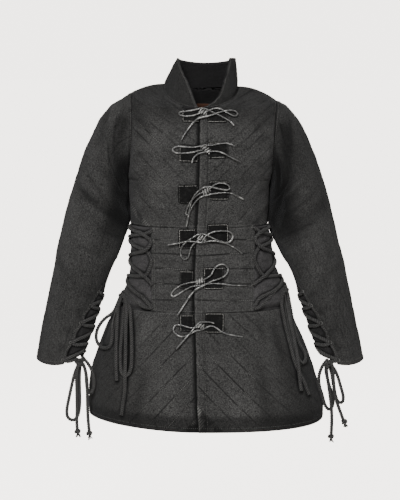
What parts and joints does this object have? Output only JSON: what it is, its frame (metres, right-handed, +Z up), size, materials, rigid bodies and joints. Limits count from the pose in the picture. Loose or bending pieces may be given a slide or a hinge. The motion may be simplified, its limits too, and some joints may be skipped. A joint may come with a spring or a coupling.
{
  "type": "gambeson",
  "caption": "Hip-length quilted padded jacket with a stand collar, leather front ties, laced waist sides and laced forearms, open and hollow as worn",
  "frame": {"origin": "on the median plane between the shoulders, at the height of the collar's seam, where the wearer's shoulders carry the garment", "axes": "+Z up, -Y towards the garment's front, +X towards the wearer's left"},
  "size_m": [0.758, 0.372, 0.8681],
  "materials": {
    "cloth": "faded black cotton canvas, quilted over wadding",
    "underlay_cloth": "black cotton cloth behind the lacings",
    "leather": "smooth black leather patches, stitched round",
    "lace": "thin round black leather lace",
    "cord": "twisted black cotton cord",
    "label": "plain brown woven label"
  },
  "bodies": {
    "root": {"arm_lace_ends_left": "cord", "arm_lace_ends_right": "cord", "arm_lace_left": "cord", "arm_lace_right": "cord", "arm_lace_second_left": "cord", "arm_lace_second_right": "cord", "arm_underlay_left": "underlay_cloth", "arm_underlay_right": "underlay_cloth", "back_chest": "cloth", "back_skirt": "cloth", "back_waist": "cloth", "collar": "cloth", "front_chest_left": "cloth", "front_chest_right": "cloth", "front_skirt_left": "cloth", "front_skirt_right": "cloth", "front_waist_left": "cloth", "front_waist_right": "cloth", "neck_label": "label", "patch_1_left": "leather", "patch_1_right": "leather", "patch_2_left": "leather", "patch_2_right": "leather", "patch_3_left": "leather", "patch_3_right": "leather", "patch_4_left": "leather", "patch_4_right": "leather", "patch_5_left": "leather", "patch_5_right": "leather", "patch_6_left": "leather", "patch_6_right": "leather", "side_lace_crossed_left": "cord", "side_lace_crossed_right": "cord", "side_lace_ends_left": "cord", "side_lace_ends_right": "cord", "side_lace_left": "cord", "side_lace_right": "cord", "side_lace_second_right": "cord", "side_underlay_left": "underlay_cloth", "side_underlay_right": "underlay_cloth", "sleeve_left": "cloth", "sleeve_right": "cloth", "tie_1_knot": "lace", "tie_1_lace_lower": "lace", "tie_1_lace_upper": "lace", "tie_2_knot": "lace", "tie_2_lace_lower": "lace", "tie_2_lace_upper": "lace", "tie_3_knot": "lace", "tie_3_lace_lower": "lace", "tie_3_lace_upper": "lace", "tie_4_knot": "lace", "tie_4_lace_lower": "lace", "tie_4_lace_upper": "lace", "tie_5_knot": "lace", "tie_5_lace_lower": "lace", "tie_5_lace_upper": "lace", "tie_6_knot": "lace", "tie_6_lace_lower": "lace", "tie_6_lace_upper": "lace"}
  },
  "joints": []
}
